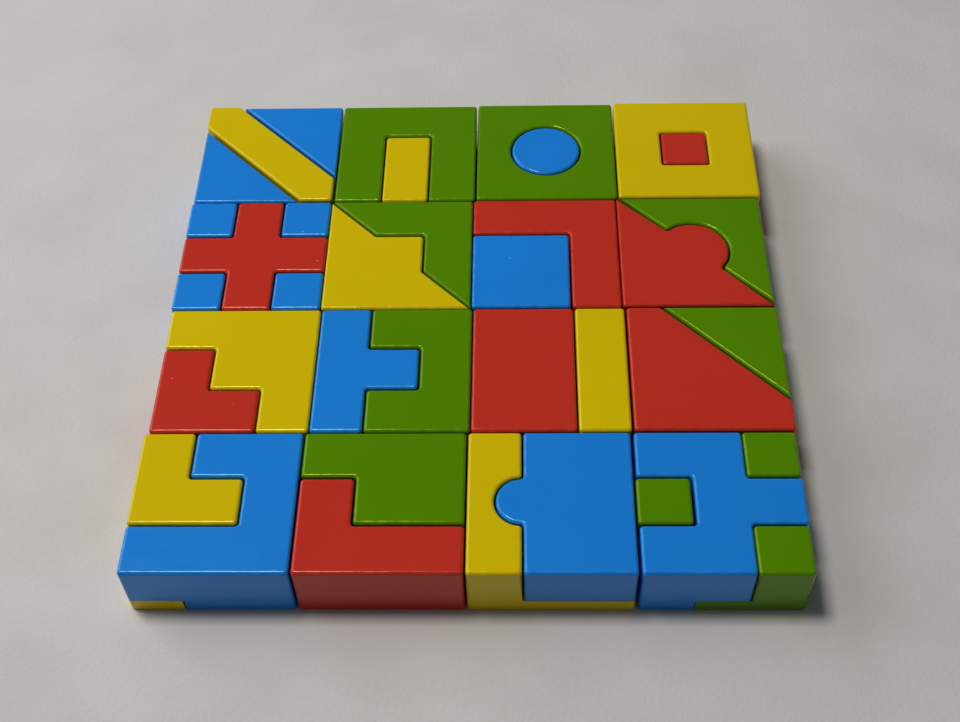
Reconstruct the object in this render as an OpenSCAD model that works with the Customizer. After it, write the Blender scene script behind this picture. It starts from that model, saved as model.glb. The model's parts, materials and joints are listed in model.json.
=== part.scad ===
// Matching-block puzzle: sixteen square blocks laid four by four. Each block is a pair of
// moulded plastic halves. The base half is a thin plate with posts standing on it, and the
// cap half drops over the posts, so the top of the block shows two interlocking shapes.
// Units are millimetres. X runs to the right, Y to the back and Z up. The origin is on the
// table, under the middle of the whole set.

/* [Block] */
// Side of a square block
block = 37.5; // [34:0.5:42]
// Height of a block with its cap on
block_h = 16; // [14:0.5:20]
// Thickness of the plate that joins a base's posts
plate_t = 4; // [3.5:0.5:5]
// Gap between a base's posts and its cap, seen from above
fit_gap = 0.4; // [0.2:0.1:0.6]
// Gap between a seated cap and the plate under it
seat_gap = 0.1; // [0.05:0.05:0.2]

/* [Shell] */
// Thickness of the side walls
wall = 1.8; // [1.4:0.1:2]
// Thickness of the top skin and of the plate's skin
skin = 1.8; // [1.4:0.1:2]
// Thickness of the stiffening ribs
rib_t = 1.2; // [0.8:0.1:1.6]
// How far the ribs stop short of the rim
rib_lift = 0.5; // [0.2:0.1:1]

/* [Shapes] */
// Legs of the cut-corner triangles, in thirds of a block
wedge_leg = 2.28; // [1.8:0.02:2.4]
// Extra gap on each side of a cut-corner triangle's long side
wedge_play = 0.2; // [0:0.05:0.4]
// Legs of the triangle that the big bump is cut from, in thirds of a block
bump_leg = 2.92; // [2.8:0.02:3]
// Radius of the round post and of the big bump, in thirds of a block
bump_r = 0.75; // [0.6:0.05:0.85]
// Radius of the small knob, in thirds of a block
knob_r = 0.5; // [0.4:0.05:0.55]

/* [Layout] */
// Gap between neighbours along each row, front row first
row_gap = [0.45, 0.25, 0.25, 0.4]; // [0.2:0.05:1]
// How far each row's left edge stands right of the front row's
row_shift = [0, 0.9, 0.4, 0.7]; // [-2:0.1:2]
// Gap between neighbours along each column, left column first
column_gap = [0.25, 0.25, 0.35, 0.5]; // [0.2:0.05:1]
// How far the back left block's cap has slipped, to the right and to the back
band_slip = [-0.35, 0.55]; // [-0.4:0.05:0.6]
// How far two caps of the right column have slipped to the right
right_slip = 0.25; // [0:0.05:0.25]

/* [Hidden] */

// One third of a block: every straight outline follows this grid
third = block / 3;
half_gap = fit_gap / 2;
// Length by which a cutting shape runs past the face it cuts
over = 1;
$fn = 96;

// Places in the layout
last = 3;
row_left = [for (row = [0:last]) row_shift[row]];
row_right = [for (row = [0:last]) row_shift[row] + 4 * block + last * row_gap[row]];
column_back = [for (column = [0:last]) 4 * block + last * column_gap[column]];
middle_x = (min(row_left) + max(row_right)) / 2;
middle_y = max(column_back) / 2;

blue = [0.11, 0.44, 0.78];
yellow = [0.78, 0.67, 0.05];
red = [0.68, 0.16, 0.13];
green = [0.30, 0.47, 0.02];

// ---- Layout ----

// Moves a half drawn with its block's front left corner at the origin to its place in the
// set. A cap that has slipped in its block's play adds its slip to that.
module place(column, row, slip = [0, 0]) {
    x = row_shift[row] + column * (block + row_gap[row]) - middle_x;
    y = row * (block + column_gap[column]) - middle_y;
    translate([x + slip[0], y + slip[1], 0]) children();
}

// ---- Outlines ----
// $grow moves an outline's inner sides out and $rim moves the sides on the block's own edge
// out, so one outline draws the post, its hollow and the opening that it fits in the cap.

// A rectangle of whole thirds, from third u, v and w by h thirds in size
module cell(u, v, w = 1, h = 1) {
    x0 = u == 0 ? -$rim : u * third - $grow;
    y0 = v == 0 ? -$rim : v * third - $grow;
    x1 = u + w == 3 ? block + $rim : (u + w) * third + $grow;
    y1 = v + h == 3 ? block + $rim : (v + h) * third + $grow;
    translate([x0, y0]) square([x1 - x0, y1 - y0]);
}

// A right triangle in the front left corner, with its long side at 45 degrees. The play is
// an extra gap along the long side, and it goes the same way as the outline's own growth.
module front_wedge(leg, play = 0) {
    reach = leg * third + ($grow + sign($grow) * play) * sqrt(2);
    polygon([[-$rim, -$rim], [reach + $rim, -$rim], [-$rim, reach + $rim]]);
}

// The same triangle in the back right corner
module back_wedge(leg, play = 0) {
    translate([block, block]) rotate(180) front_wedge(leg, play);
}

module corner_posts() {
    for (u = [0, 2], v = [0, 2]) cell(u, v);
}

module fork_posts() {
    cell(0, 1);
    for (v = [0, 2]) cell(2, v);
}

module fork_feet() {
    for (v = [0, 2]) cell(0, v);
}

module tee_posts() {
    cell(0, 0, 1, 3);
    cell(0, 1, 2, 1);
}

module stair_posts() {
    cell(0, 0, 1, 2);
    cell(0, 0, 2, 1);
}

module ell_posts() {
    cell(0, 0, 1, 2);
    cell(0, 0, 3, 1);
}

module hook_posts() {
    cell(0, 1, 1, 2);
    cell(0, 1, 2, 1);
}

module hook_feet() {
    cell(1, 0, 2, 1);
}

module knob_posts() {
    difference() {
        cell(0, 0, 1, 3);
        translate([third, 1.5 * third]) circle(knob_r * third - $grow);
    }
}

module zigzag_posts() {
    difference() {
        back_wedge(3);
        square(2 * third - $grow);
    }
}

module bump_posts() {
    difference() {
        back_wedge(bump_leg);
        translate([block / 2, block / 2]) circle(bump_r * third - $grow);
    }
}

module slope_post() {
    back_wedge(wedge_leg, wedge_play);
}

module band_posts() {
    front_wedge(wedge_leg, wedge_play);
    slope_post();
}

module disc_post() {
    translate([block / 2, block / 2]) circle(bump_r * third + $grow);
}

// ---- Halves ----

// The whole block's square, with its sides moved out by rim
module square_outline(rim = 0) {
    translate([-rim, -rim]) square(block + 2 * rim);
}

// The lines of the ribs, on the grid of thirds
module rib_lines() {
    for (k = [1, 2]) {
        translate([k * third - rib_t / 2, -over]) square([rib_t, block + 2 * over]);
        translate([-over, k * third - rib_t / 2]) square([block + 2 * over, rib_t]);
    }
}

// A hollow under a skin, open at the bottom, with ribs that stop short of the rim
module hollow(bottom, top) {
    translate([0, 0, bottom - over]) linear_extrude(over + rib_lift) children();
    translate([0, 0, bottom]) linear_extrude(top - bottom) difference() {
        children();
        rib_lines();
    }
}

// A base half. Child 0 draws its posts, and child 1 the cap's feet if the cap has any.
module base_half() {
    difference() {
        union() {
            linear_extrude(plate_t) difference() {
                square_outline();
                if ($children > 1) let ($grow = half_gap, $rim = over) children(1);
            }
            linear_extrude(block_h) let ($grow = -half_gap, $rim = 0) children(0);
        }
        hollow(0, plate_t - skin) difference() {
            square_outline(-wall);
            if ($children > 1) let ($grow = half_gap + wall, $rim = over) children(1);
        }
        hollow(0, block_h - skin) let ($grow = -half_gap - wall, $rim = -wall) children(0);
    }
}

// The walls round a cap's feet, which run up to its skin
module foot_walls() {
    difference() {
        let ($grow = -half_gap, $rim = 0) children();
        let ($grow = -half_gap - wall, $rim = -wall) children();
    }
}

// A cap half, made to fit the same posts and standing on the same feet
module cap_half() {
    seat = plate_t + seat_gap;
    difference() {
        union() {
            translate([0, 0, seat]) linear_extrude(block_h - seat) difference() {
                square_outline();
                let ($grow = half_gap, $rim = over) children(0);
            }
            if ($children > 1) linear_extrude(block_h - skin / 2)
                let ($grow = -half_gap, $rim = 0) children(1);
        }
        hollow(seat, block_h - skin) difference() {
            square_outline(-wall);
            let ($grow = half_gap + wall, $rim = over) children(0);
            if ($children > 1) foot_walls() children(1);
        }
        if ($children > 1) hollow(0, block_h - skin)
            let ($grow = -half_gap - wall, $rim = -wall) children(1);
    }
}

// ---- Front row ----

module hook_base() {
    color(yellow) place(0, 0) base_half() { hook_posts(); hook_feet(); }
}

module hook_cap() {
    color(blue) place(0, 0) cap_half() { hook_posts(); hook_feet(); }
}

module ell_base() {
    color(red) place(1, 0) base_half() ell_posts();
}

module ell_cap() {
    color(green) place(1, 0) cap_half() ell_posts();
}

module knob_base() {
    color(yellow) place(2, 0) base_half() knob_posts();
}

module knob_cap() {
    color(blue) place(2, 0) cap_half() knob_posts();
}

module fork_base() {
    color(green) place(3, 0) base_half() { fork_posts(); fork_feet(); }
}

module fork_cap() {
    color(blue) place(3, 0, [right_slip, 0]) cap_half() { fork_posts(); fork_feet(); }
}

// ---- Second row ----

module stair_base() {
    color(red) place(0, 1) base_half() stair_posts();
}

module stair_cap() {
    color(yellow) place(0, 1) cap_half() stair_posts();
}

module tee_base() {
    color(blue) place(1, 1) base_half() tee_posts();
}

module tee_cap() {
    color(green) place(1, 1) cap_half() tee_posts();
}

module strip_base() {
    color(yellow) place(2, 1) base_half() cell(2, 0, 1, 3);
}

module strip_cap() {
    color(red) place(2, 1) cap_half() cell(2, 0, 1, 3);
}

module slope_base() {
    color(green) place(3, 1) base_half() slope_post();
}

module slope_cap() {
    color(red) place(3, 1, [right_slip, 0]) cap_half() slope_post();
}

// ---- Third row ----

module cross_base() {
    color(blue) place(0, 2) base_half() corner_posts();
}

module cross_cap() {
    color(red) place(0, 2) cap_half() corner_posts();
}

module zigzag_base() {
    color(green) place(1, 2) base_half() zigzag_posts();
}

module zigzag_cap() {
    color(yellow) place(1, 2) cap_half() zigzag_posts();
}

module corner_base() {
    color(blue) place(2, 2) base_half() cell(0, 0, 2, 2);
}

module corner_cap() {
    color(red) place(2, 2) cap_half() cell(0, 0, 2, 2);
}

module bump_base() {
    color(green) place(3, 2) base_half() bump_posts();
}

module bump_cap() {
    color(red) place(3, 2) cap_half() bump_posts();
}

// ---- Back row ----

module band_base() {
    color(blue) place(0, 3) base_half() band_posts();
}

module band_cap() {
    color(yellow) place(0, 3, band_slip) cap_half() band_posts();
}

module arch_base() {
    color(yellow) place(1, 3) base_half() cell(1, 0, 1, 2);
}

module arch_cap() {
    color(green) place(1, 3) cap_half() cell(1, 0, 1, 2);
}

module disc_base() {
    color(blue) place(2, 3) base_half() disc_post();
}

module disc_cap() {
    color(green) place(2, 3) cap_half() disc_post();
}

module window_base() {
    color(red) place(3, 3) base_half() cell(1, 1);
}

module window_cap() {
    color(yellow) place(3, 3) cap_half() cell(1, 1);
}

hook_base();
hook_cap();
ell_base();
ell_cap();
knob_base();
knob_cap();
fork_base();
fork_cap();
stair_base();
stair_cap();
tee_base();
tee_cap();
strip_base();
strip_cap();
slope_base();
slope_cap();
cross_base();
cross_cap();
zigzag_base();
zigzag_cap();
corner_base();
corner_cap();
bump_base();
bump_cap();
band_base();
band_cap();
arch_base();
arch_cap();
disc_base();
disc_cap();
window_base();
window_cap();
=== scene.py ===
# %% [markdown]
# # A pack of sixteen matching blocks
# Each block of this puzzle is a pair of plastic mouldings. The base is a thin plate with
# posts standing on it, and the cap drops over the posts, so the block's top shows two
# shapes that fit each other. The blocks lie four by four on a pale table.
#
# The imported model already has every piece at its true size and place. What it lacks is
# what a mould gives for free: rounded edges, a gloss that isn't quite even, and the small
# scratches and dust that plastic picks up in use. This script adds those.

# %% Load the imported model
import json
import math

import bmesh
import bpy
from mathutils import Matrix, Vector


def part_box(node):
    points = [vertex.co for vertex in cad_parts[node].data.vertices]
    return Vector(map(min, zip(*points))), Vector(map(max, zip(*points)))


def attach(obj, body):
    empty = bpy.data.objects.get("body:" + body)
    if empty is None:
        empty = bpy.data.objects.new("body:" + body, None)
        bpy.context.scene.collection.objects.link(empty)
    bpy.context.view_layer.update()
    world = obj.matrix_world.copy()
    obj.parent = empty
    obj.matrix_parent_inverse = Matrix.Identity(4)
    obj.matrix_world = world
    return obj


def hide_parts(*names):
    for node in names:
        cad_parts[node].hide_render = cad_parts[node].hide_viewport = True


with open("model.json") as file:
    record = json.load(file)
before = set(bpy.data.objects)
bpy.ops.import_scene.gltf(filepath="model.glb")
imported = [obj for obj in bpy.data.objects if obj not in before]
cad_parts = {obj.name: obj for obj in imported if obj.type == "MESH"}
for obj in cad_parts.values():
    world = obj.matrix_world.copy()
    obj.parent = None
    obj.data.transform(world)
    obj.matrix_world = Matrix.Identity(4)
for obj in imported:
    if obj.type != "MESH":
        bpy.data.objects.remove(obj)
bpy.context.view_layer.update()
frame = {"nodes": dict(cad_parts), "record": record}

# %% [markdown]
# ## The camera
# A person bends over the table and looks down at the blocks from the front. A lens a
# little longer than normal keeps the far row from shrinking too much. The camera goes
# in first, so that every later step can be judged from the same place. The standard view
# transform shows a plastic's own colour, where a filmic one would wash it out.

# %% Place the camera
MM = 0.001
LENS = 52.0
SENSOR_WIDTH = 36.0
CAMERA_PLACE = Vector((11.9, -225.2, 278.2)) * MM
CAMERA_TURNS = (38.43, 1.43, 0.83)

camera_data = bpy.data.cameras.new("camera")
camera_data.lens = LENS
camera_data.sensor_width = SENSOR_WIDTH
camera = bpy.data.objects.new("camera", camera_data)
camera.location = CAMERA_PLACE
camera.rotation_euler = [math.radians(turn) for turn in CAMERA_TURNS]
bpy.context.scene.collection.objects.link(camera)
bpy.context.scene.camera = camera
bpy.context.scene.view_settings.view_transform = "Standard"
print("camera height over the table:", round(camera.location.z, 3), "m")

# %% [markdown]
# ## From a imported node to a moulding
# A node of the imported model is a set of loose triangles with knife-sharp edges. The node
# itself must stay as it is, so each piece starts as a copy. The copy's loose corners are
# merged, and the triangles that lie in one plane are dissolved into one face, which leaves
# only the edges that a toolmaker would draw. Those can then be rounded.

# %% Copy a node as clean faces
MERGE_GAP = 0.001 * MM
FLAT_ANGLE = math.radians(0.5)


def only(piece):
    """Makes this piece the only selected object, and the active one."""
    bpy.ops.object.select_all(action="DESELECT")
    piece.select_set(True)
    bpy.context.view_layer.objects.active = piece


def clean_copy(node):
    """A copy of a node with its corners merged and one face on each flat side."""
    piece = bpy.data.objects.new(node + "_moulding", frame["nodes"][node].data.copy())
    bpy.context.scene.collection.objects.link(piece)
    only(piece)
    bpy.ops.mesh.customdata_custom_splitnormals_clear()
    bpy.ops.object.mode_set(mode="EDIT")
    bpy.ops.mesh.select_all(action="SELECT")
    bpy.ops.mesh.remove_doubles(threshold=MERGE_GAP)
    bpy.ops.mesh.dissolve_limited(angle_limit=FLAT_ANGLE)
    bpy.ops.object.mode_set(mode="OBJECT")
    return piece


# %% [markdown]
# ## Rounded corners
# Molten plastic can't fill a perfectly sharp corner, and a toy's corners are eased on
# purpose. The upright corners of the outline come first, with a bevel. The thin tips of the
# triangles are left crisp: their two sides run so close together that a bevel as round as
# the others would eat the tip.

# %% Choose corners by place
LEVEL = 0.02 * MM
CORNER_ANGLE = math.radians(25)
SHARP_ANGLE = math.radians(60)
TIP_ANGLE = math.radians(100)
UPRIGHT = 0.999


def at_height(vertex, height):
    return abs(vertex.co.z - height) < LEVEL


def is_upright(edge):
    run = edge.verts[1].co - edge.verts[0].co
    return abs(run.z) > UPRIGHT * run.length


def turns_by(edge, least, most=math.pi):
    """True for an edge whose two faces meet at an angle in this range."""
    return len(edge.link_faces) == 2 and least < edge.calc_face_angle() < most


def is_level(face, height, side):
    """True for a face at this height that faces straight up, side 1, or down, side -1."""
    return (face.normal.z * side > UPRIGHT
            and all(at_height(vertex, height) for vertex in face.verts))


def select_where(piece, kind, wanted):
    """Selects the "faces" or "edges" that pass the test, and returns how many there are."""
    bpy.ops.mesh.select_all(action="DESELECT")
    mesh = bmesh.from_edit_mesh(piece.data)
    mesh.normal_update()
    chosen = [part for part in getattr(mesh, kind) if wanted(part)]
    for part in chosen:
        part.select_set(True)
    bmesh.update_edit_mesh(piece.data)
    return len(chosen)


# %% [markdown]
# A face can't have a hole in Blender, so a ring is kept as a few faces, with edges between
# them that run from corner to corner. A bevel or an inset that meets such an edge comes out
# crooked. So the level faces are taken off while the corners are rounded, and each opening
# is filled again afterwards with small triangles.

# %% Take the level faces off and fill them again
PLATE_TOP = 4.0 * MM


def take_off(piece, low, high):
    select_where(piece, "faces", lambda face: is_level(face, high.z, 1)
                 or is_level(face, PLATE_TOP, 1) or is_level(face, low.z, -1))
    bpy.ops.mesh.delete(type="FACE")


def fill_again(piece, low, high):
    for height in (low.z, PLATE_TOP, high.z):
        if select_where(piece, "edges", lambda edge: edge.is_boundary
                        and all(at_height(vertex, height) for vertex in edge.verts)):
            bpy.ops.mesh.fill(use_beauty=True)
    bpy.ops.mesh.select_all(action="SELECT")
    bpy.ops.mesh.normals_make_consistent(inside=False)


# %% [markdown]
# A bevel needs room on both sides, or it folds over itself. Next to a knob or a bump the
# outline's arc is made of very short sides, so the arc's first two millimetres are drawn as
# one straight side before the corner is rounded. The very short side that ends each tip of
# the bump block's cap goes the same way, and leaves the tip a point.

# %% Make room next to the sharp corners
ROOM = 2.0 * MM


def reaches_top(edge, high):
    return is_upright(edge) and any(at_height(vertex, high.z) for vertex in edge.verts)


def sharp_places(piece, high, least):
    """Where the outline of the top turns by more than this, seen from above."""
    mesh = bmesh.from_edit_mesh(piece.data)
    mesh.normal_update()
    return [edge.verts[0].co.xy.copy() for edge in mesh.edges
            if reaches_top(edge, high) and turns_by(edge, least)]


def is_near(edge, places, distance):
    return any((edge.verts[0].co.xy - place).length < distance for place in places)


def make_room(piece, high):
    corners = sharp_places(piece, high, SHARP_ANGLE)

    def in_the_way(edge):
        return (reaches_top(edge, high) and turns_by(edge, 0, SHARP_ANGLE)
                and is_near(edge, corners, ROOM))

    if select_where(piece, "edges", in_the_way):
        bpy.ops.mesh.dissolve_edges(use_verts=True)


# %% [markdown]
# A bevel's size is how far it reaches along each side. A blunt corner and a right-angled
# one with the same radius reach different distances, so the corners are sorted by how far
# they turn, and each group gets the reach that gives every corner one radius.

# %% Round the upright corners
CORNER_RADIUS = 0.85 * MM
CORNER_STEPS = 8


def on_box_corner(vertex, low, high):
    return (min(abs(vertex.co.x - low.x), abs(vertex.co.x - high.x)) < LEVEL
            and min(abs(vertex.co.y - low.y), abs(vertex.co.y - high.y)) < LEVEL)


def turn_of(edge):
    """How far the outline turns at this corner, in whole degrees."""
    return round(math.degrees(edge.calc_face_angle()))


def round_corners(piece, low, high):
    """Rounds the upright edges that reach the top, and those at the piece's outer corners."""
    tips = sharp_places(piece, high, TIP_ANGLE)

    def wanted(edge):
        outermost = (all(on_box_corner(vertex, low, high) for vertex in edge.verts)
                     and not is_near(edge, tips, CORNER_RADIUS))
        return (is_upright(edge) and turns_by(edge, CORNER_ANGLE, TIP_ANGLE)
                and (reaches_top(edge, high) or outermost))

    mesh = bmesh.from_edit_mesh(piece.data)
    mesh.normal_update()
    turns = sorted({turn_of(edge) for edge in mesh.edges if wanted(edge)})
    for turn in turns:
        select_where(piece, "edges", lambda edge: wanted(edge) and turn_of(edge) == turn)
        bpy.ops.mesh.bevel(offset=CORNER_RADIUS * math.tan(math.radians(turn) / 2),
                           segments=CORNER_STEPS, profile=0.5, clamp_overlap=False)
    return turns


# %% [markdown]
# ## Rounded rims
# The rim of the top face is rounded all the way round, and this does more for the look
# than anything else, because each rounded edge catches a thin bright line from the lamp
# overhead. The face itself is worked, with no bevel: it's pushed in by the rounding's
# radius, and comes back out in small steps, each a little further from the edge, along a
# quarter of a circle. The bottom rim is only just broken, in the same way.

# %% Round the rims
TOP_ROUND = 0.8 * MM
TOP_STEPS = 6
SEAM_ROUND = 0.2 * MM
SEAM_STEPS = 2
# The rims' attribute: where they are rubbed and dinged, and where a painted highlight goes.
RIM_WEAR_AND_HIGHLIGHT = "rim_wear_and_highlight"


def round_rim(piece, height, side, radius, steps):
    """Rounds the rim of the level faces at this height. Side is 1 for up, -1 for down."""
    select_where(piece, "faces", lambda face: is_level(face, height, side))
    bpy.ops.transform.translate(value=(0, 0, -side * radius))
    turns = [math.pi / 2 * step / steps for step in range(steps + 1)]
    for start, end in zip(turns, turns[1:]):
        inward = radius * (math.cos(start) - math.cos(end))
        outward = radius * (math.sin(end) - math.sin(start))
        bpy.ops.mesh.inset(thickness=inward, depth=outward, use_even_offset=True)


def mark_rim_wear_and_highlight(piece, high):
    """Marks the top rim's rounding, where hands rub and ding it and where its paler tone is a
    painted highlight, for the plastic to read.
    """
    mesh = bmesh.from_edit_mesh(piece.data)
    layer = mesh.faces.layers.float.new(RIM_WEAR_AND_HIGHLIGHT)
    for face in mesh.faces:
        near_top = face.calc_center_median().z > high.z - TOP_ROUND
        if near_top and face.normal.z < UPRIGHT:
            face[layer] = 1.0
    bmesh.update_edit_mesh(piece.data)


def round_edges(piece, low, high):
    bpy.ops.object.mode_set(mode="EDIT")
    bpy.ops.mesh.select_mode(type="EDGE")
    take_off(piece, low, high)
    make_room(piece, high)
    turns = round_corners(piece, low, high)
    fill_again(piece, low, high)
    bpy.ops.mesh.select_mode(type="FACE")
    round_rim(piece, high.z, 1, TOP_ROUND, TOP_STEPS)
    round_rim(piece, low.z, -1, SEAM_ROUND, SEAM_STEPS)
    mark_rim_wear_and_highlight(piece, high)
    bpy.ops.object.mode_set(mode="OBJECT")
    return turns


# %% [markdown]
# ## Shading that stays flat
# A large flat face next to a narrow rounding shows a false sheen if their normals are
# simply averaged. A Weighted Normal modifier lets the large face keep its own normal and
# bends only the rounding, which is how a real eased edge looks.

# %% Smooth a moulding
SMOOTH_ANGLE = math.radians(35)


def smooth(piece):
    only(piece)
    bpy.ops.object.shade_smooth_by_angle(angle=SMOOTH_ANGLE)
    weighted = piece.modifiers.new("flat_faces_first", "WEIGHTED_NORMAL")
    weighted.keep_sharp = True
    bpy.ops.object.modifier_apply(modifier=weighted.name)


# %% [markdown]
# ## All the mouldings
# The same steps suit every piece, because the steps find corners and rims by their place
# and angle and never by number. Each moulding is made from its own node, so sixteen
# different blocks come out of one short loop.

# %% Make the thirty-two mouldings
mouldings = {}
for node in sorted(frame["nodes"]):
    low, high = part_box(node)
    piece = clean_copy(node)
    turns = round_edges(piece, low, high)
    smooth(piece)
    mouldings[node] = piece
    print(f"{node}: corners that turn {turns} degrees, {len(piece.data.polygons)} faces")

# %% [markdown]
# ## Glossy moulded plastic
# The four plastics are one recipe in four colours. It's a dyed plastic with a polished
# surface, and three things keep it from looking like a flat paint swatch: the dye is a
# little uneven, the polish is a little wavy from the mould, and play has left hairline
# scratches, specks of dust and tiny dings along the rims, which break up their bright
# lines. Every pattern reads Object coordinates, so it's fixed to the piece and has its true
# size.

# %% Small helpers for shader nodes
def link(tree, source, target):
    tree.links.new(source, target)


def object_place(tree, scale=(1, 1, 1), turn=0.0):
    """Object coordinates, stretched and turned about Z."""
    coordinates = tree.nodes.new("ShaderNodeTexCoord")
    mapping = tree.nodes.new("ShaderNodeMapping")
    mapping.vector_type = "TEXTURE"
    mapping.inputs["Rotation"].default_value = (0, 0, turn)
    mapping.inputs["Scale"].default_value = scale
    link(tree, coordinates.outputs["Object"], mapping.inputs["Vector"])
    return mapping.outputs["Vector"]


def noise(tree, place, size, detail=2.0):
    """Soft noise with features of this size."""
    node = tree.nodes.new("ShaderNodeTexNoise")
    node.inputs["Scale"].default_value = 1 / size
    node.inputs["Detail"].default_value = detail
    link(tree, place, node.inputs["Vector"])
    return node.outputs["Fac"]


def spread(tree, value, low, high, to_low=0.0, to_high=1.0):
    """Maps the range from low to high onto another range, and clamps it."""
    node = tree.nodes.new("ShaderNodeMapRange")
    node.inputs["From Min"].default_value = low
    node.inputs["From Max"].default_value = high
    node.inputs["To Min"].default_value = to_low
    node.inputs["To Max"].default_value = to_high
    link(tree, value, node.inputs["Value"])
    return node.outputs["Result"]


def calculate(tree, operation, first, second):
    """One Math node. Each side is another node's output or a number."""
    node = tree.nodes.new("ShaderNodeMath")
    node.operation = operation
    for socket, side in zip(node.inputs, (first, second)):
        if isinstance(side, (int, float)):
            socket.default_value = side
        else:
            link(tree, side, socket)
    return node.outputs["Value"]


# A Mix node's sockets for numbers, vectors and colours share their names, so its two
# colour sides and its colour result are picked by number.
COLOUR_SIDES = (6, 7)
COLOUR_RESULT = 2


def mix_colour(tree, share, first, second):
    """Mixes two colours, each an output or a plain colour."""
    node = tree.nodes.new("ShaderNodeMix")
    node.data_type = "RGBA"
    link(tree, share, node.inputs["Factor"])
    for number, side in zip(COLOUR_SIDES, (first, second)):
        if isinstance(side, tuple):
            node.inputs[number].default_value = (*side, 1)
        else:
            link(tree, side, node.inputs[number])
    return node.outputs[COLOUR_RESULT]


def bump(tree, height, depth, below=None, where=None):
    """Bends the surface by a height pattern of this depth, on top of another bump."""
    node = tree.nodes.new("ShaderNodeBump")
    node.inputs["Distance"].default_value = depth
    link(tree, height, node.inputs["Height"])
    if where is not None:
        link(tree, where, node.inputs["Strength"])
    if below is not None:
        link(tree, below, node.inputs["Normal"])
    return node.outputs["Normal"]


# %% [markdown]
# ## Dust and hairlines
# A speck of dust is a small round spot, so it's the middle of a Voronoi cell. Most cells
# are empty, because a wiped toy has only a few specks. A hairline is the same spot pulled
# out long and thin. Three sets at different angles, with a soft patchy mask, read as the
# random rubbing of a toy in a box.

# %% Dust and hairlines
DUST_CELL = 5.5 * MM
DUST_RADIUS = 0.03
DUST_EMPTY_SHARE = 0.72
HAIRLINES = (
    {"length": 45 * MM, "width": 0.9 * MM, "turn": 0.5},
    {"length": 30 * MM, "width": 0.7 * MM, "turn": -0.9},
    {"length": 60 * MM, "width": 1.2 * MM, "turn": 1.9},
)
HAIRLINE_RADIUS = 0.07
HAIRLINE_EMPTY_SHARE = 0.5
HAIRLINE_PATCH = 18 * MM
SPOT_CORE = 0.6


def cell_spots(tree, place, radius, empty_share):
    """Spots in the middle of some cells: 1 in a spot's core, fading to 0 at its radius."""
    cells = tree.nodes.new("ShaderNodeTexVoronoi")
    cells.inputs["Scale"].default_value = 1.0
    link(tree, place, cells.inputs["Vector"])
    spot = spread(tree, cells.outputs["Distance"], radius, radius * SPOT_CORE)
    split = tree.nodes.new("ShaderNodeSeparateColor")
    link(tree, cells.outputs["Color"], split.inputs["Color"])
    kept = calculate(tree, "GREATER_THAN", split.outputs["Red"], empty_share)
    return calculate(tree, "MULTIPLY", spot, kept)


def dust(tree):
    place = object_place(tree, (DUST_CELL,) * 3)
    return cell_spots(tree, place, DUST_RADIUS, DUST_EMPTY_SHARE)


def hairlines(tree):
    total = 0.0
    for line in HAIRLINES:
        place = object_place(tree, (line["length"], line["width"], line["width"]), line["turn"])
        one = cell_spots(tree, place, HAIRLINE_RADIUS, HAIRLINE_EMPTY_SHARE)
        total = calculate(tree, "MAXIMUM", one, total)
    patches = spread(tree, noise(tree, object_place(tree), HAIRLINE_PATCH), 0.45, 0.7)
    return calculate(tree, "MULTIPLY", total, patches)


# %% [markdown]
# ## The colour of the plastic
# Dye never mixes quite evenly, so the colour drifts between its full tone and a slightly
# deeper one over a few centimetres, with a very fine grain on top. The rounded rims are
# painted a little paler in patches, a painted highlight along the edges. The attribute that
# was put on the faces says where the rims are, because no pattern in space could follow them.
# Noise stays close to its middle value, so each pattern's range starts and ends well inside 0 to
# 1.

# %% Dye, painted rim highlight and scratches
DEEP_SHARE = 0.96
CLOUD_SIZE = 26 * MM
GRAIN_SIZE = 0.9 * MM
GRAIN_SHARE = 0.04
# Patches along the rims are painted paler, a painted highlight, and made duller, as if rubbed.
RUB_AND_HIGHLIGHT_SIZE = 3.2 * MM
RUB_AND_HIGHLIGHT_SHARE = 0.25
SCRATCH_SHARE = 0.15
DUST_COLOUR = (0.55, 0.53, 0.5)


def dyed_colour(tree, place, colour, faded_and_highlight):
    """The dye's own colour, a little cloudy and a little grainy."""
    deep = tuple(DEEP_SHARE * channel for channel in colour)
    clouds = spread(tree, noise(tree, place, CLOUD_SIZE, 3.0), 0.35, 0.68)
    cloudy = mix_colour(tree, clouds, deep, colour)
    grain = spread(tree, noise(tree, place, GRAIN_SIZE, 4.0), 0.3, 0.75, 0.0, GRAIN_SHARE)
    return mix_colour(tree, grain, cloudy, faded_and_highlight)


def rim_rub_and_highlight(tree, place, rim_wear_and_highlight):
    """How much a rim is painted paler as a painted highlight and dulled by rubbing, in patches: 0
    away from the rims.
    """
    patches = spread(tree, noise(tree, place, RUB_AND_HIGHLIGHT_SIZE, 3.0), 0.42, 0.7, 0.0, RUB_AND_HIGHLIGHT_SHARE)
    return calculate(tree, "MULTIPLY", rim_wear_and_highlight, patches)


def used_colour(tree, dyed, faded_and_highlight, rub_and_highlight, lines, specks):
    """The dyed colour with the painted highlight on its rims, and scratches and dust on top."""
    # Painted highlight: the rims are mixed towards the paler tone.
    rim_highlighted = mix_colour(tree, rub_and_highlight, dyed, faded_and_highlight)
    scratches = calculate(tree, "MULTIPLY", lines, SCRATCH_SHARE)
    scratched = mix_colour(tree, scratches, rim_highlighted, faded_and_highlight)
    return mix_colour(tree, specks, scratched, DUST_COLOUR)


# %% [markdown]
# ## The polish
# A toy's mould is polished, so the plastic is glossy, but fingers leave smudges that are a
# little duller. Dust, scratches and rubbed rims are duller again. Bump adds what is too
# fine to model: slow waves from the mould, a fine orange peel, dust and scratches, and the
# dings along the rims.

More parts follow.
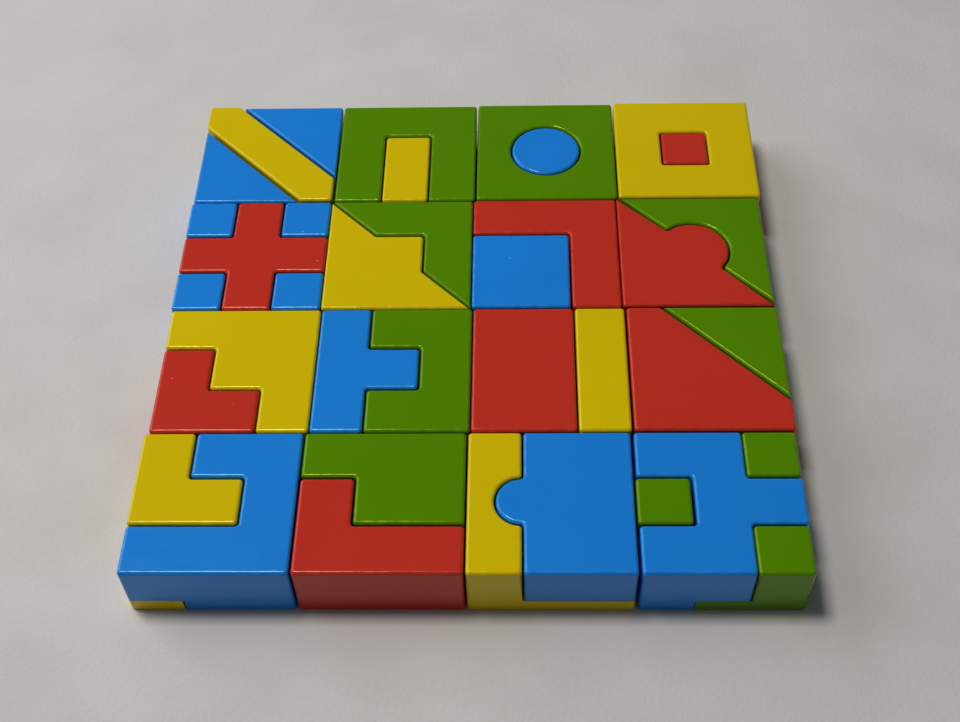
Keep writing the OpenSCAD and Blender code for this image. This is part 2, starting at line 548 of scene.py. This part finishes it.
# %% Smudges, waves and dings
SMUDGE_SIZE = 12 * MM
POLISHED = 0.15
SMUDGED = 0.21
MARKS_DULL = 0.5
LINES_DULL = 0.3
RIMS_DULL = 0.15
WAVE_SIZE = 9 * MM
WAVE_DEPTH = 0.03 * MM
PEEL_SIZE = 0.7 * MM
PEEL_DEPTH = 0.0015 * MM
MARK_DEPTH = 0.01 * MM
DING_SIZE = 2.4 * MM
DING_DEPTH = 0.12 * MM


def polish(tree, place, rub_and_highlight, lines, specks):
    """The plastic's roughness. A scratch counts for less than a speck of dust."""
    smudged = spread(tree, noise(tree, place, SMUDGE_SIZE, 5.0), 0.35, 0.7, POLISHED, SMUDGED)
    marks = calculate(tree, "MAXIMUM", calculate(tree, "MULTIPLY", lines, LINES_DULL), specks)
    marked = calculate(tree, "ADD", smudged, calculate(tree, "MULTIPLY", marks, MARKS_DULL))
    return calculate(tree, "ADD", marked, calculate(tree, "MULTIPLY", rub_and_highlight, RIMS_DULL))


def surface(tree, place, rim_wear_and_highlight, lines, specks):
    """The plastic's bump: four patterns, each on top of the one before."""
    waves = bump(tree, noise(tree, place, WAVE_SIZE, 1.0), WAVE_DEPTH)
    peel = bump(tree, noise(tree, place, PEEL_SIZE, 2.0), PEEL_DEPTH, waves)
    marks = bump(tree, calculate(tree, "SUBTRACT", specks, lines), MARK_DEPTH, peel)
    return bump(tree, noise(tree, place, DING_SIZE, 3.0), DING_DEPTH, marks, rim_wear_and_highlight)


# %% [markdown]
# ## One recipe for four plastics
# The recipe joins the colour, the polish and the surface in one shader. A plastic is told
# apart only by its dye, the paler tone of its grain, its scratches and its painted rim highlight,
# and its sheen.

# %% The plastic recipe
GLOSS_IOR = 1.5


def moulded_plastic(name, colour, faded_and_highlight, sheen):
    """A glossy dyed plastic. Its paler tone serves the grain, the scratches and the painted
    highlight on the rims, and sheen tints its reflections.
    """
    material = bpy.data.materials.new(name)
    material.use_nodes = True
    tree = material.node_tree
    shader = tree.nodes["Principled BSDF"]
    shader.inputs["IOR"].default_value = GLOSS_IOR
    shader.inputs["Specular Tint"].default_value = (*sheen, 1)
    place = object_place(tree)
    attribute = tree.nodes.new("ShaderNodeAttribute")
    attribute.attribute_name = RIM_WEAR_AND_HIGHLIGHT
    rim_wear_and_highlight = attribute.outputs["Fac"]

    rub_and_highlight = rim_rub_and_highlight(tree, place, rim_wear_and_highlight)
    lines = hairlines(tree)
    specks = dust(tree)
    dyed = dyed_colour(tree, place, colour, faded_and_highlight)
    link(tree, used_colour(tree, dyed, faded_and_highlight, rub_and_highlight, lines, specks),
         shader.inputs["Base Color"])
    link(tree, polish(tree, place, rub_and_highlight, lines, specks), shader.inputs["Roughness"])
    link(tree, surface(tree, place, rim_wear_and_highlight, lines, specks), shader.inputs["Normal"])
    print(f"{name}: {len(tree.nodes)} shader nodes")
    return material


# %% [markdown]
# The four colours are a bright blue, a lemon yellow, a brick red and a grass green. Each
# is a strong dye with one channel close to nothing, so white reflections would make it
# look chalky. The sheen is therefore tinted towards the plastic's own colour.

# %% Mix the four plastics
# Each paler tone is the lighter dye of the grain and the scratches, and the painted highlight on
# the rims.
TONES = {
    "blue_plastic": {
        "colour": (0.0105, 0.222, 0.75), "faded_and_highlight": (0.05, 0.32, 0.86), "sheen": (0.4, 0.9, 1.0)},
    "yellow_plastic": {
        "colour": (0.675, 0.508, 0.001), "faded_and_highlight": (0.78, 0.62, 0.03), "sheen": (1.0, 1.0, 0.2)},
    "red_plastic": {
        "colour": (0.54, 0.031, 0.0165), "faded_and_highlight": (0.66, 0.07, 0.045), "sheen": (1.0, 0.45, 0.35)},
    "green_plastic": {
        "colour": (0.085, 0.245, 0.0004), "faded_and_highlight": (0.15, 0.34, 0.01), "sheen": (0.9, 1.0, 0.1)},
}
plastics = {name: moulded_plastic(name, **tones) for name, tones in TONES.items()}

# %% [markdown]
# ## Finishing the pieces
# Each moulding gets the plastic that the record names for its node, moves with its own
# body and stands for its node.

# %% Give every moulding its plastic and its body
slot_of = {part["node"]: part["material_slot"] for part in frame["record"]["subparts"]}
for node, piece in mouldings.items():
    piece.data.materials.clear()
    piece.data.materials.append(plastics[slot_of[node]])
    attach(piece, node)
    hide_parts(node)
print("pieces:", len(mouldings))

# %% [markdown]
# ## The table
# The set lies on a pale cloth-covered table. It's only a stage, so it stays plain: a wide
# sheet with a faint nap, a hair's breadth below the blocks so that no two faces share a
# plane.

# %% Lay the table
TABLE_SIZE = 6.0
TABLE_DROP = 0.01 * MM
CLOTH_DARK = (0.57, 0.56, 0.555)
CLOTH_LIGHT = (0.63, 0.625, 0.62)
CLOTH_ROUGHNESS = 0.9
CLOTH_PATCH = 30 * MM
NAP_SIZE = 1.2 * MM
NAP_DEPTH = 0.12 * MM


def pale_cloth():
    material = bpy.data.materials.new("pale_cloth")
    material.use_nodes = True
    tree = material.node_tree
    shader = tree.nodes["Principled BSDF"]
    shader.inputs["Roughness"].default_value = CLOTH_ROUGHNESS
    place = object_place(tree)
    tone = spread(tree, noise(tree, place, CLOTH_PATCH, 5.0), 0.3, 0.7)
    link(tree, mix_colour(tree, tone, CLOTH_DARK, CLOTH_LIGHT), shader.inputs["Base Color"])
    nap = bump(tree, noise(tree, place, NAP_SIZE, 6.0), NAP_DEPTH)
    link(tree, nap, shader.inputs["Normal"])
    return material


bpy.ops.object.select_all(action="DESELECT")
bpy.ops.mesh.primitive_plane_add(size=TABLE_SIZE, location=(0, 0, -TABLE_DROP))
table = bpy.context.object
table.name = "table"
table.data.materials.append(pale_cloth())
print("table:", table.dimensions.x, "m wide")

# %% [markdown]
# ## Light
# The room has a window to the back left and a warm lamp almost overhead. The window is large,
# cool and soft. The lamp is small, and it draws the bright lines along the rounded edges.
# Both light the tops and leave the front faces in shade, and a dim grey room fills in the
# rest. Neither stands where the flat tops would mirror it, so the tops keep a deep colour.

# %% Light the room
ROOM_COLOUR = (0.95, 0.97, 1.0)
ROOM_STRENGTH = 0.09


def area_light(name, place, size, power, colour):
    """A square light at this place, turned to face the blocks."""
    data = bpy.data.lights.new(name, "AREA")
    data.size = size
    data.energy = power
    data.color = colour
    light = bpy.data.objects.new(name, data)
    light.location = place
    light.rotation_euler = (-Vector(place)).to_track_quat("-Z", "Y").to_euler()
    bpy.context.scene.collection.objects.link(light)
    print(f"{name}: {power} W from {size} m")


area_light("window", place=(-1.15, 0.5, 0.8), size=1.2, power=11.0, colour=(0.93, 0.96, 1.0))
area_light("lamp", place=(-0.23, 0.07, 0.88), size=0.2, power=4.3, colour=(1.0, 0.95, 0.88))

room = bpy.data.worlds.new("room")
room.use_nodes = True
glow = room.node_tree.nodes["Background"]
glow.inputs["Color"].default_value = (*ROOM_COLOUR, 1)
glow.inputs["Strength"].default_value = ROOM_STRENGTH
bpy.context.scene.world = room
